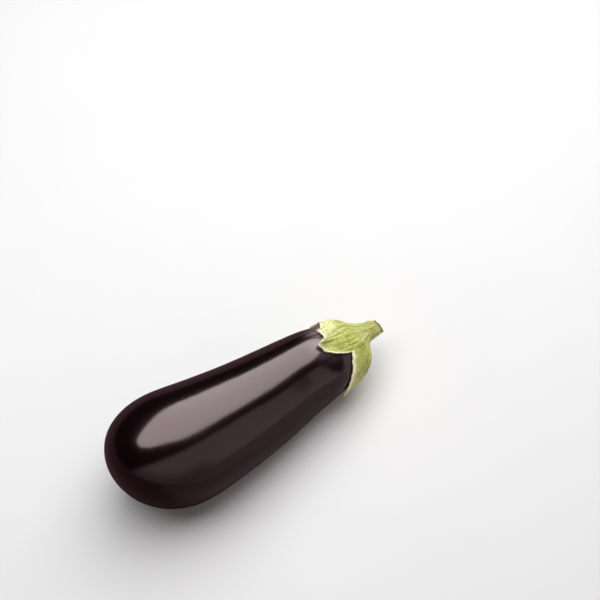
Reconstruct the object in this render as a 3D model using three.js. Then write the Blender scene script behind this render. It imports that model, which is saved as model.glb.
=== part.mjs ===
// An eggplant as picked: the fruit, and the calyx that caps its shoulder together with the cut stem.
// Millimetres, +Z up. The fruit lies on its side along X, with the stem towards +X, and rests on the
// small flat spot under its weight. The origin is at the middle of the bottom of the whole box.

import * as THREE from 'three';

// ---- Fruit: driving dimensions ----
const FRUIT_LENGTH = 197;
const BELLY_RADIUS = 40;
const BELLY_AT = 46;                 // distance of the widest place from the blossom end
const SHOULDER_RADIUS = 25;
const SHOULDER_AT = 173;             // where the straight neck ends and the shoulder turns in
const NECK_SLOPE = 6.8;              // degrees between the neck and the axis
const BEND = [-6.3, -4.6];           // how far the middle bows out, along Y and Z
const SHOULDER_SHIFT = [-4, 0.6];    // how far the shoulder grew off the axis, along Y and Z
const SHIFT_SPAN = [0.7, 0.97];      // where along the fruit that shift sets in and ends
const CAP_SKEW = [-0.2, -0.15];      // slant of the end under the stem, along X per length along Y and Z
const SKEW_RUN = 34;                 // how far from that end the slant fades out
const CAP_ROUND = 0.64;              // how broad that end is, as a share of its radius
const CAP_HOLD = 0.43;               // how far the neck's line runs on into it
const NECK_HOLD = 0.65;              // how far the neck's line and the belly's line run on
const BLOSSOM_HOLD = [0.22, 0.35];   // how full the blossom end is, along and across
const REST_TILT = -5.5;              // degrees; the slim stem end lies lower than the belly
const FLAT_DEPTH = 0.8;              // how deep the flat spot cuts into the round underside

// ---- Calyx and stem: driving dimensions ----
const GAP = 0.4;                     // clear space between the calyx and the skin
const HUB_REACH = 13;                // distance along the skin from the stem's axis to the hub's rim
const HUB_THICKNESS = 2.3;
const HUB_FADE = 0.4;                // share of the cup over which the hub's thickness fades out
const CUP_THICKNESS = 1.4;
const EDGE_THICKNESS = 1.1;
const TIP_LIFT = 0.9;                // how far the lobes' tips stand off the skin
const TIP_CURL = 4;                  // how late that lift sets in
const EDGE_THINNING = 5;             // how late the cup thins towards its cut edge
const RIB_HEIGHT = 0.8;
const RIB_WIDTH = 0.24;              // share of half a lobe
const RIB_FADE = 3;                  // how late the rib sinks towards the tip
const LOBE_SWERVE = 1.4;             // how late a lobe turns from its hub angle to its edge angle
const STEM_LENGTH = 19;              // from the fruit's end to the middle of the cut
const STEM_RADIUS = 5;
const STEM_FOOT = 7.5;               // height at which the stem starts to flare into the hub
const FOOT_SPREAD = 1.42;            // how much wider the stem is there than at its cut
const FLARE_SPREAD = 1.64;           // and how much wider it is a little lower down
const FLARE_DROP = 2.5;
const STEM_RIBS = [0.93, 0.13];      // the stem's radius between its ribs, and what a rib adds
const STEM_LEAN = [-0.12, 0.03];     // sideways per length, along Y and Z
const CUT_SLANT = 1.2;
const CUT_LOW_SIDE = 20;             // angle at which the slanting cut is lowest
const CUT_RIM = 0.7;                 // height of the cut's soft rim

// Waves round the fruit that make it a little less than round: how many, how high (as a share of the
// radius) and turned how far.
const WAVES = [
  { count: 2, height: 0.008, turn: -0.6 },
  { count: 3, height: 0.004, turn: 1.1 },
];

// Each lobe has a tip and, after it, a notch. Angles are in degrees round the axis, from -Y towards
// +Z. A reach is a distance along the skin from the stem's axis. hub is the angle at the hub's rim,
// and full says how fast the edge widens from the tip: under 1 is blunt, over 1 is drawn out.
const LOBES = [
  { tip: -14, hub: -6, reach: 46.3, full: [1.2, 1.2], notch: { at: 51, hub: 41, reach: 32 } },
  { tip: 87, hub: 74, reach: 52.5, full: [0.5, 1.0], notch: { at: 94, hub: 104, reach: 43 } },
  { tip: 110, hub: 128, reach: 44, full: [1.2, 1.8], notch: { at: 150, hub: 158, reach: 29.5 } },
  { tip: 204, hub: 202, reach: 45.5, full: [1.8, 1.1], notch: { at: 238, hub: 238, reach: 32 } },
  { tip: 268, hub: 270, reach: 45, full: [1.2, 1.0], notch: { at: 303, hub: 306, reach: 32 } },
];

// ---- How finely the surfaces are divided ----
const FRUIT_SIDES = 60;
const FRUIT_RINGS = 34;
const HALF_LOBE_STEPS = 9;
const STEM_RINGS = 4;
const FLARE_RINGS = 4;
const CUP_RINGS = 9;
const LINING_RINGS = 12;
const CUT_SHARES = [0.5, 0.88];      // rings across the cut
const END_SHARES = [0.6, 0.25];      // rings of the inner face under the hub
const END_CROWDING = 0.06;           // how much closer together the fruit's rings are at both ends
const TANGENT_MARGIN = 0.0005;       // how near the outline's ends its direction is still read

const radians = THREE.MathUtils.degToRad;
const mix = THREE.MathUtils.lerp;

// The fruit's outline from the end under the stem to the blossom end, as (distance from the blossom
// end, radius): the shoulder, the neck with the belly, and the round blossom end.
function fruitOutline() {
  const slope = Math.tan(radians(NECK_SLOPE));
  const taperStart = SHOULDER_AT - (BELLY_RADIUS - SHOULDER_RADIUS) / slope;
  const capLength = FRUIT_LENGTH - SHOULDER_AT;
  const capRadius = SHOULDER_RADIUS - capLength * slope;
  const point = (along, radius) => new THREE.Vector2(along, radius);
  const outline = new THREE.CurvePath();
  outline.add(new THREE.CubicBezierCurve(
    point(FRUIT_LENGTH, 0),
    point(FRUIT_LENGTH, CAP_ROUND * capRadius),
    point(mix(SHOULDER_AT, FRUIT_LENGTH, CAP_HOLD), mix(SHOULDER_RADIUS, capRadius, CAP_HOLD)),
    point(SHOULDER_AT, SHOULDER_RADIUS),
  ));
  outline.add(new THREE.CubicBezierCurve(
    point(SHOULDER_AT, SHOULDER_RADIUS),
    point(mix(SHOULDER_AT, taperStart, NECK_HOLD), mix(SHOULDER_RADIUS, BELLY_RADIUS, NECK_HOLD)),
    point(mix(BELLY_AT, taperStart, NECK_HOLD), BELLY_RADIUS),
    point(BELLY_AT, BELLY_RADIUS),
  ));
  outline.add(new THREE.CubicBezierCurve(
    point(BELLY_AT, BELLY_RADIUS),
    point(BLOSSOM_HOLD[0] * BELLY_AT, BELLY_RADIUS),
    point(0, BLOSSOM_HOLD[1] * BELLY_RADIUS),
    point(0, 0),
  ));
  return outline;
}

const outline = fruitOutline();
const outlineLength = outline.getLength();

// Where the fruit's middle lies, along Y and Z, at a distance from the blossom end.
function axisAt(along) {
  const share = along / FRUIT_LENGTH;
  const shift = THREE.MathUtils.smoothstep(share, ...SHIFT_SPAN);
  const bow = 4 * share * (1 - share);
  return [BEND[0] * bow + SHOULDER_SHIFT[0] * shift, BEND[1] * bow + SHOULDER_SHIFT[1] * shift];
}

// The small departure from a true circle that every grown fruit has.
function roundness(angle) {
  return WAVES.reduce((sum, wave) => sum + wave.height * Math.cos(wave.count * angle + wave.turn), 1);
}

// A point at a distance along the skin from the stem's axis, lifted off the skin by an offset.
function overSkin(reach, angle, offset) {
  const share = Math.min(reach / outlineLength, 1);
  const spot = outline.getPoint(share);
  const run = outline.getTangent(THREE.MathUtils.clamp(share, TANGENT_MARGIN, 1 - TANGENT_MARGIN));
  const radius = spot.y * roundness(angle) + offset * -run.x;
  const aside = -radius * Math.cos(angle);
  const up = radius * Math.sin(angle);
  const [middleY, middleZ] = axisAt(spot.x);
  const skew = THREE.MathUtils.smoothstep(spot.x, FRUIT_LENGTH - SKEW_RUN, FRUIT_LENGTH);
  return new THREE.Vector3(
    spot.x + offset * run.y + skew * (CAP_SKEW[0] * aside + CAP_SKEW[1] * up),
    middleY + aside,
    middleZ + up,
  );
}

// The fruit's rest: tilted until its weight lies over its underside.
function laid(point) {
  return point.applyAxisAngle(new THREE.Vector3(0, 1, 0), radians(-REST_TILT));
}

// A closed body from rings of equally many points, with a pole at each end.
function closedSkin(firstPole, rings, lastPole) {
  const sides = rings[0].length;
  const points = [firstPole, ...rings.flat(), lastPole];
  const last = points.length - 1;
  const at = (ring, side) => 1 + ring * sides + (side % sides);
  const faces = [];
  for (let side = 0; side < sides; side += 1) {
    faces.push(0, at(0, side + 1), at(0, side));
    for (let ring = 0; ring + 1 < rings.length; ring += 1) {
      faces.push(at(ring, side), at(ring, side + 1), at(ring + 1, side + 1));
      faces.push(at(ring, side), at(ring + 1, side + 1), at(ring + 1, side));
    }
    faces.push(last, at(rings.length - 1, side), at(rings.length - 1, side + 1));
  }
  const geometry = new THREE.BufferGeometry().setFromPoints(points);
  geometry.setIndex(faces);
  geometry.computeVertexNormals();
  return geometry;
}

// ---- Fruit ----
// Rings follow the outline, closer together at both ends, where it turns fastest.
function fruitGeometry() {
  const rings = [];
  for (let ring = 1; ring < FRUIT_RINGS; ring += 1) {
    const even = ring / FRUIT_RINGS;
    const reach = outlineLength * (even - END_CROWDING * Math.sin(2 * Math.PI * even));
    const circle = [];
    for (let side = 0; side < FRUIT_SIDES; side += 1) {
      circle.push(laid(overSkin(reach, (2 * Math.PI * side) / FRUIT_SIDES, 0)));
    }
    rings.push(circle);
  }
  return closedSkin(laid(overSkin(0, 0, 0)), rings, laid(overSkin(outlineLength, 0, 0)));
}

// Lets the body down so that its underside is cut flat by the surface that it lies on.
function setDown(geometries) {
  const underside = new THREE.Box3().setFromBufferAttribute(geometries[0].getAttribute('position'));
  const floor = underside.min.z + FLAT_DEPTH;
  for (const geometry of geometries) {
    const place = geometry.getAttribute('position');
    for (let index = 0; index < place.count; index += 1) {
      place.setZ(index, Math.max(place.getZ(index) - floor, 0));
    }
    geometry.computeVertexNormals();
  }
}

// ---- Calyx with stem ----
// The columns of the calyx: each one is an angle at the hub, an angle and a reach at the cut edge,
// and its place across the lobe, from 0 on the midrib to 1 in the notch.
function calyxColumns() {
  const columns = [];
  LOBES.forEach((lobe, index) => {
    const turn = index === 0 ? 360 : 0;
    const earlier = LOBES[(index + LOBES.length - 1) % LOBES.length].notch;
    const start = { at: earlier.at - turn, hub: earlier.hub - turn, reach: earlier.reach };
    const halves = [
      { notch: start, full: lobe.full[0], toTip: true },
      { notch: lobe.notch, full: lobe.full[1], toTip: false },
    ];
    for (const { notch, full, toTip } of halves) {
      for (let step = 0; step < HALF_LOBE_STEPS; step += 1) {
        const across = toTip ? 1 - step / HALF_LOBE_STEPS : step / HALF_LOBE_STEPS;
        const outward = Math.sin(((1 - across) * Math.PI) / 2);
        columns.push({
          hub: radians(mix(lobe.hub, notch.hub, across)),
          edge: radians(mix(lobe.tip, notch.at, (1 - outward) ** full)),
          reach: mix(notch.reach, lobe.reach, outward),
          across,
        });
      }
    }
  });
  return columns;
}

// The ridge along each lobe's midrib, which runs on up the stem.
function rib(across) {
  return Math.exp(-((across / RIB_WIDTH) ** 2));
}

// A point of the calyx on one column, from the hub's rim (0) to the cut edge (1).
function onCup(column, share, thickness) {
  const reach = mix(HUB_REACH, column.reach, share);
  const angle = mix(column.hub, column.edge, share ** LOBE_SWERVE);
  const lift = TIP_LIFT * (1 - column.across) ** 2 * share ** TIP_CURL;
  return overSkin(reach, angle, GAP + lift + thickness);
}

// The cup is thickest at the hub, even over most of its run, and thins out at the cut edge.
function cupThickness(column, share) {
  const fall = mix(HUB_THICKNESS, CUP_THICKNESS, Math.min(share / HUB_FADE, 1));
  const body = mix(fall, EDGE_THICKNESS, share ** EDGE_THINNING);
  return body + RIB_HEIGHT * rib(column.across) * (1 - share ** RIB_FADE);
}

// The stem's middle at a height above the fruit's end.
function stemMiddle(height) {
  const lean = new THREE.Vector3(1, ...STEM_LEAN);
  return overSkin(0, 0, 0).addScaledVector(lean, height);
}

// A point of the stem's side at a height above the fruit's end.
function onStem(column, height, spread) {
  const radius = STEM_RADIUS * (STEM_RIBS[0] + STEM_RIBS[1] * rib(column.across)) * spread;
  const aside = new THREE.Vector3(0, -Math.cos(column.hub), Math.sin(column.hub));
  return stemMiddle(height).addScaledVector(aside, radius);
}

function cutHeight(column, share) {
  return STEM_LENGTH - CUT_SLANT * share * Math.cos(column.hub - radians(CUT_LOW_SIDE));
}

function calyxGeometry() {
  const columns = calyxColumns();
  const ringOf = (place) => columns.map((column) => laid(place(column)));
  const rings = [];

  // the cut, with a soft rim
  for (const share of CUT_SHARES) {
    rings.push(ringOf((column) => onStem(column, cutHeight(column, share), share)));
  }
  // the stem's side, wider towards its foot
  for (let ring = 0; ring <= STEM_RINGS; ring += 1) {
    const down = ring / STEM_RINGS;
    const spread = mix(1, FOOT_SPREAD, down);
    rings.push(ringOf((column) => (
      onStem(column, mix(cutHeight(column, 1) - CUT_RIM, STEM_FOOT, down), spread)
    )));
  }
  // the flare from the stem into the hub
  const flares = columns.map((column) => {
    const rim = onCup(column, 0, cupThickness(column, 0));
    const beyond = onCup(column, 1 / CUP_RINGS, cupThickness(column, 1 / CUP_RINGS));
    return new THREE.CubicBezierCurve3(
      onStem(column, STEM_FOOT, FOOT_SPREAD),
      onStem(column, STEM_FOOT - FLARE_DROP, FLARE_SPREAD),
      rim.clone().multiplyScalar(2).sub(beyond),
      rim,
    );
  });
  for (let ring = 1; ring < FLARE_RINGS; ring += 1) {
    rings.push(flares.map((flare) => laid(flare.getPoint(ring / FLARE_RINGS))));
  }
  // the outer face of the calyx, to its cut edge
  for (let ring = 0; ring <= CUP_RINGS; ring += 1) {
    const share = ring / CUP_RINGS;
    rings.push(ringOf((column) => onCup(column, share, cupThickness(column, share))));
  }
  // the inner face, back along the skin to the fruit's end
  for (let ring = LINING_RINGS; ring >= 0; ring -= 1) {
    rings.push(ringOf((column) => onCup(column, ring / LINING_RINGS, 0)));
  }
  for (const share of END_SHARES) {
    rings.push(ringOf((column) => overSkin(HUB_REACH * share, column.hub, GAP)));
  }
  return closedSkin(laid(stemMiddle(STEM_LENGTH)), rings, laid(overSkin(0, 0, GAP)));
}

// ---- The eggplant ----
const fruitShape = fruitGeometry();
const calyxShape = calyxGeometry();
setDown([fruitShape, calyxShape]);

const fruit = new THREE.Mesh(
  fruitShape,
  new THREE.MeshStandardMaterial({ color: 0x1c0d16, roughness: 0.22, metalness: 0 }),
);
fruit.name = 'fruit';

const calyxStem = new THREE.Mesh(
  calyxShape,
  new THREE.MeshStandardMaterial({ color: 0xa9b35a, roughness: 0.7, metalness: 0 }),
);
calyxStem.name = 'calyx_stem';

const eggplant = new THREE.Group();
eggplant.name = 'eggplant';
eggplant.add(fruit, calyxStem);

const middle = new THREE.Box3().setFromObject(eggplant).getCenter(new THREE.Vector3());
eggplant.position.set(-middle.x, -middle.y, 0);

export default eggplant;
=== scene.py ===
"""An eggplant as picked, lying on its side: its glossy skin, and the calyx with its cut stem."""

import math
from collections import namedtuple
from functools import partial

import bpy
import numpy as np
from mathutils import Matrix, Vector


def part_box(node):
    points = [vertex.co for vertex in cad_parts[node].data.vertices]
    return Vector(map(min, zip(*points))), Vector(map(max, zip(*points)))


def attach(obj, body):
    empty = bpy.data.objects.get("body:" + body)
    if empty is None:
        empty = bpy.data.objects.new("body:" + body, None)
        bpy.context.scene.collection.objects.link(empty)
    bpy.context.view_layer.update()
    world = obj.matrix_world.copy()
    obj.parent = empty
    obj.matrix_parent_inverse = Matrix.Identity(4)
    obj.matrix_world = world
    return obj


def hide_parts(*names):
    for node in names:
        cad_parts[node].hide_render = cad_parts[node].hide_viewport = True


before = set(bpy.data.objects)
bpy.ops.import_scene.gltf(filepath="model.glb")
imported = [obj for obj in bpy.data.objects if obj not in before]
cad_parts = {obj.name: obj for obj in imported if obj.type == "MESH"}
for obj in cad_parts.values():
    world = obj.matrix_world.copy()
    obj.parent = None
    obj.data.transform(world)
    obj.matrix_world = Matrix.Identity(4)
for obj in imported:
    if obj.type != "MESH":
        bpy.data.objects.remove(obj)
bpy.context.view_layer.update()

bl_info = {
    "name": "Eggplant",
    "version": (1, 0, 0),
    "blender": (4, 5, 0),
    "location": "3D View > Sidebar > Eggplant",
    "description": "Skin, calyx and stem of an eggplant around its packed model",
    "category": "Object",
}

# ---- The fruit's form, as in its solid (metres, and shares of a length) ----
SHOULDER_SHIFT = (-0.004, 0.0006)  # How far the shoulder stands aside and up
SHIFT_SPAN = (0.7, 0.97)  # Shares of the length between which it goes there
CAP_SKEW = (-0.2, -0.15)  # How far along the axis the shoulder slants, by metre aside and up
SKEW_RUN = 0.034  # Run before the stem's end over which the slant grows
CAP_ROUND = 0.64  # The rounds and holds say how far the outline's Bezier corners reach
CAP_HOLD = 0.43
NECK_HOLD = 0.65
BLOSSOM_HOLD = (0.22, 0.35)
BELLY_EASE = 0.009  # Spread of the average that evens out the bend at the belly
EASED_STEPS = 1600
EASED_FROM = (0.006, 0.03)  # Distances from the blossom end between which the easing sets in
EASED_UNTIL = 0.15  # Distance at which it has gone again, and the run over which it goes
EASED_FADE = 0.03
# The shoulder rolls off under the calyx: depth, reach, spread along, side, and how narrow across.
ROLL_OFFS = (
    (0.0018, 0.037, 0.0095, math.radians(95), 1),
    (0.0020, 0.040, 0.016, math.radians(62), 14),
)
FLAT_SOFTNESS = 0.0003  # Width of the soft edge where the fruit rests on the ground
# Out of round: waves round the fruit, share of the radius, and phase.
WAVES = ((2, 0.008, -0.6), (3, 0.004, 1.1))
END_CROWDING = 0.06  # How much closer together the rings are at both ends

# ---- The skin's relief ----
# Shallow swells of the skin: height, waves round the fruit, waves along it, and the phase of each.
SWELLS = (
    (0.00022, 3, 1.3, 0.4, 1.9),
    (0.00010, 5, 2.1, 2.2, 0.3),
    (0.00004, 8, 3.7, 1.0, 4.4),
)
SWELL_FADES = (0.12, 0.2)  # Shares of the reach at the stem and at the blossom end
SCAR_RADIUS = 0.0021
SCAR_RAGGED = ((3, 0.18, 0.5), (7, 0.1, 0.0))  # As the waves above
SCAR_EDGE = (0.75, 1.1)  # Shares of the scar's radius between which it ends
SCAR_DIMPLE = 0.0005
DIMPLE_SPREAD = 2.4  # In radii of the scar
CORK_HEIGHT = 0.00035
CORK_RINGS = (0.6, 0.4, 7)  # Mean and ripple of the cork's height, and the ripple's rate
# The blush beside the calyx: a pale band, which towards the lit side is a painted highlight
BLUSH_WIDTH = 0.0065
BLUSH_LEAST = 0.1  # What is left of the blush on the calyx's shady side, away from its painted highlight
BLUSH_NARROWNESS = 4
CALYX_ENDS = 0.09  # Past this reach the skin lies far away from the calyx
FAR_AWAY = 0.05

# ---- The calyx's form, as in its solid, with its finer relief ----
GAP = 0.0004  # Between the calyx and the skin
HUB_REACH = 0.013  # Where the stem's flare meets the cup, whose shares run from here to its edge
HUB_THICKNESS = 0.0023
HUB_FADE = 0.4  # Share at which the hub's thickness has gone
EDGE_THICKNESS = 0.0011
EDGE_THINNING = 5  # Power of the share by which the edge is thinner
EDGE_BEAD = (0.00022, 0.0013)  # Height of the swollen edge, and how far in it spreads
EDGE_STAND = (0.0005, 0.00022, 17, 2)  # Mean, ripple, count and phase of how far it stands off
EDGE_STAND_POWER = 6
EDGE_ROUND = 0.42  # How far the rolled edge bulges, as a share of its thickness
TIP_CURL = 4  # Power of the share by which the tips stand off
RIB_HEIGHT = 0.0009
RIB_WIDTH = 0.2
RIB_FADE = 3  # Power of the share by which ribs and valleys fade
SIDE_RIB = (0.0004, 0.52, 0.11)  # Height, place across the lobe, and width
SIDE_RIB_STARTS = (0.1, 0.4)
VALLEY = (0.00055, 0.14)  # Depth and width of the fold that runs to each notch
FURROW_OPENS = (0.4, 0.85)  # Shares between which the folded lobe's furrow opens
FURROW_WIDTH = (0.03, 0.13)  # Where it starts, and where it is open
FURROW_ENDS = (0.85, 0.75)  # Share where the furrow starts to fade, and how much of it does
FIBRE_FADE = 0.5
# Unevenness: height, and the count, the rate along the cup and the phase of two crossed ripples.
UNEVEN = (0.00018, (5, 9, 0), (7, 14, 1))
CREASE_HEIGHT = 0.00032
CREASE_SEED = 5
CREASE_WAVES = 26
CREASE_COUNTS = (14, 80)  # Range of the waves' counts round the stem
CREASE_RATE = 700  # Their greatest rate along the growth, in radians per metre
CREASE_CLIP = 2.2  # Height of a wave that counts as full, in standard deviations
CREASE_STARTS = 0.1
CREASE_FADE = (0.6, 8)  # How much fades towards the edge, and the power of the share it goes by
# Swellings: angle and share where they stand, how far they spread each way, and their height.
BULGES = ((146, 0.5, 30, 0.3, 0.0019), (20, 0.35, 24, 0.25, 0.0006))
KNOB = (105, 0.42, 75, 0.3, 0.19)

# Each lobe: tip angle, hub angle, reach, how fast each side widens, furrow depth, curl of the tip,
# and the notch after it: edge angle, hub angle, reach. Angles are in degrees from -Y towards +Z.
LOBES = (
    (-14, -6, 0.0463, (1.2, 1.2), 0.0, 1.1, (51, 41, 0.032)),
    (87, 74, 0.0525, (0.5, 1.0), 0.0011, 0.8, (94, 104, 0.043)),
    (110, 128, 0.0440, (1.2, 1.8), 0.0, 1.3, (150, 158, 0.0295)),
    (204, 202, 0.0455, (1.8, 1.1), 0.0, 1.0, (238, 238, 0.032)),
    (268, 270, 0.0450, (1.2, 1.0), 0.0, 0.6, (303, 306, 0.032)),
)
# Fibres that run from the stem to the lobes' edges: count round the stem, height and phase.
FIBRES = ((31, 0.00007, 0.3), (47, 0.00006, 1.9), (71, 0.00004, 4.1))
# Uneven cut edge: waves round the calyx, height and phase.
FRAY = ((19, 0.00035, 0.7), (37, 0.00028, 2.9), (83, 0.00014, 5.0))

# ---- The stem's form ----
STEM_FOOT = 0.0075  # Height above the fruit's end at which the stem starts to flare out
FOOT_SPREAD = 1.42  # Radii of the foot and of the flare's next corner, as shares of the stem's
FLARE_SPREAD = 1.64
FLARE_DROP = 0.0025  # How far that corner lies below the foot
FLARE_AIM = 1 / 9  # Share of the cup that the flare's last corner is in line with
STEM_RIBS = (0.93, 0.13)  # Share of the stem's radius in a valley, and how much more a rib has
STEM_LEAN = (-0.12, 0.03)  # How far the stem leans along Y and Z for each metre along X
WAIST = (0.035, 0.6)  # How much thinner the stem's middle is, and how uneven that is round it
STEM_CREASES = (0.05, 2.5)  # Height as a share of the radius, and how fast they change upwards
CUT_SLANT = 0.0010
CUT_LOW_SIDE = math.radians(110)
CUT_FLAT = 0.93  # Share of the radius where the cut's flat face ends and its rim begins
CUT_DISH = 0.00045
CUT_GRAIN = (0.00012, (3, 11, 0), (5, -7, 0))  # As the unevenness above
RIM_MIDDLE = 0.97  # Share of the radius whose height the turned rim takes
RIM_DROP = 0.00065

# ---- Where the calyx's colours lie ----
# Side round the axis that the light falls on: the calyx is bleached towards it, and there the
# skin's blush is a painted highlight
SUNNY_SIDE = math.radians(127)
SUNNY_NARROWNESS = 5
SUNNY_SPAN = (0.15, 0.6)  # Shares of the cup between which the bleaching sets in
PALE_LOBE = math.radians(-14)
PALE_NARROWNESS = 2
PALE_LEAST = 0.25  # How withered the other lobes' tips are beside the pale one's
WITHERED = (0.95, 0.02, 0.0135)  # Strength, width of half a lobe, and how far from the tip
PALE_FOOT = (0.3, 0.4)  # How bleached the stem is, and the share of the cup where that has gone
PALE_EDGE = 0.0017
TIP_WIDTH = 0.012  # Width of half a lobe as far as its dry tip goes
DRY_SPREAD = 0.0035
FURROW_DARK_UNTIL = (0.93, 0.5)  # Share where the painted shade in the folded lobe's furrow starts to fade, and how much of it does
VALLEY_DARK = (0.55, 0.5)  # Painted shade in the valleys to each notch: on the cup, and on the flare
RIM_COLOURS = (0.6, 0.85)  # How much the turned rim looks cut, and how brown it is
BROWN_FACE = 0.72  # Share of the radius where the cut starts to turn brown
BROWN_SIDE = (0.5, 0.0115, 0.0018)  # Strength, the side's length, and how far down it spreads

# Distances from the axis at which the streaks of growth are worked out
SKIN_GROWTH_RADIUS = 0.03
CALYX_GROWTH_RADIUS = 0.008

# ---- How finely the surfaces are divided ----
FRUIT_SIDES = 288
FRUIT_RINGS = 220
HALF_LOBE_STEPS = 40
CUT_RINGS = 9
RIM_RINGS = 4
STEM_RINGS = 22
FLARE_RINGS = 16
CUP_RINGS = 84
EDGE_RINGS = 6
LINING_RINGS = 18
LINING_END = (0.7, 0.4, 0.15)  # Shares of the hub's reach at the last rings before the pole
BEZIER_STEPS = 400

# ---- How the patterns of the materials are made ----
STREAK_ROUGHNESS = 0.6
MOTTLE_ROUGHNESS = 0.55
MOTTLE_RANGE = (0.3, 0.7)  # Values of the noise that are taken for its lowest and its highest
SPECK_STIRRED = 0.8  # How far the specks' outlines are stirred, in cells
SPECK_LEAST = 0.4  # Smallest size, where the largest is 1 more
SPECK_CORE = 0.45  # Share of a speck's radius where it is full
SKIN_BUMP = (0.5, 0.00008)  # Strength and distance
CALYX_BUMP = (0.8, 0.0003)
FIBRE_SHINE = 0.14  # How much less rough the fibres are
CUT_DULLNESS = 0.3

# ---- The stage (metres, degrees where a name says so, and shares) ----
FLOOR_FADE = (0.35, 0.95)  # Distances from the middle between which it fades out
FLOOR_CLOUDS = (9.0, 0.985)  # Scale, and brightness of the darker ones
FLOOR_BEYOND = (-0.6, 0.8, 0.0)  # The way across the floor to the side beyond the fruit
FLOOR_NEAR = (-0.2, -0.05)  # Where the dimming changes along that way: in front, and beyond
FLOOR_FAR = (-0.02, 0.03)
WINDOW_AIM = (0, 0, 0.035)
WINDOW_DEGREES = (7, 101)  # How far the window's direction leans to +X, and rises from -Y
WINDOW_DISTANCE = 0.9
WINDOW_HALF_DEGREES = (50, 52.5)  # What it spans to each side, and up and down
WINDOW_ROUNDINGS = (0.5, 0.75)  # Shares of its half width and height that the corners take
WINDOW_HEIGHTS = (0.27, 0.64)  # Shares of its height at its narrow and at its wide end
WINDOW_WIDENS = (-1.0, 0.7)  # Places along it between which it widens
WINDOW_BOW = (0.22, -0.35)  # How much its middle line is bowed, and where the bow turns
WINDOW_GRADIENT = 0.08  # How much brighter it grows upwards
WINDOW_SOFTNESS = 0.3  # Share of the corners' reach over which its light fades out
# The surroundings, by the direction's part along X (towards the stem) and along Z.
FILL_LEAST = 0.45  # Share of the fill that is left low down, away from the stem
FILL_BESIDE = (0.2, 0.5)  # Parts along X, and along Z, between which it grows from that
FILL_ABOVE = (0.0, 0.5)
FILL_SOFTNESS = 0.12
FILL_ENDS = (0.65, 0.73)  # Parts along X between which the fill ends
SIDE_STARTS = 0.86  # Part along X from which the stem's side grows bright
SEEN_AIR = 0.86  # Brightness of the surroundings as the camera sees them


# ---- Sums that the shapes share ----
def bezier(corners, t):
    """Cubic Bezier curve from its first to its last corner, at values t of its parameter."""
    a, b, c, d = (np.asarray(corner, float) for corner in corners)
    return (1 - t) ** 3 * a + 3 * (1 - t) ** 2 * t * b + 3 * (1 - t) * t**2 * c + t**3 * d


def smoothstep(value, low, high):
    """0 below low, 1 above high, and 3t^2 - 2t^3 in between, with t the share of the way."""
    t = np.clip((value - low) / (high - low), 0, 1)
    return t * t * (3 - 2 * t)


def mix(low, high, share):
    """The value a share of the way from low to high."""
    return low + (high - low) * share


def bell(value, spread):
    """1 at 0, and exp(-(value / spread)^2) to both sides."""
    return np.exp(-((value / spread) ** 2))


def turned(angle):
    """The same angle, brought between -pi and pi."""
    return (angle + np.pi) % (2 * np.pi) - np.pi


def facing(angle, side, power):
    """1 where an angle faces a side, and its cosine to a power down to 0 away from it."""
    return np.maximum(np.cos(angle - side), 0) ** power


def waves(angle, terms):
    """Sum of height times cosine of (count times angle plus phase)."""
    return sum(height * np.cos(count * angle + phase) for count, height, phase in terms)


def crossed(ripples, first_angle, second_angle, along):
    """Crossed ripples: height * sin(a * angle + b * along + c), times the second sine like it."""
    height, (count, rate, phase), (other_count, other_rate, other_phase) = ripples
    first = np.sin(count * first_angle + rate * along + phase)
    return height * first * np.sin(other_count * second_angle + other_rate * along + other_phase)


def swelling(angle, share, place):
    """A smooth swelling: its height times a bell of the angle and of the share from its middle."""
    middle, middle_share, spread, spread_share, height = place
    turn = turned(angle - math.radians(middle))
    return height * bell(turn, math.radians(spread)) * bell(share - middle_share, spread_share)


def creases(angle, along):
    """Creased leather from 0 to 1: one minus the size of a sum of waves that run whole times round.

    The waves are long along the growth and short round it, and each is weaker the finer it is.
    """
    draw = np.random.default_rng(CREASE_SEED)
    around = draw.integers(*CREASE_COUNTS, CREASE_WAVES)
    rate = draw.uniform(-CREASE_RATE, CREASE_RATE, CREASE_WAVES)
    phase = draw.uniform(0, 2 * np.pi, CREASE_WAVES)
    total = sum(np.cos(a * angle + r * along + p) / a for a, r, p in zip(around, rate, phase))
    return 1 - np.minimum(np.abs(total) / (CREASE_CLIP * np.std(total)), 1)


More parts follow.
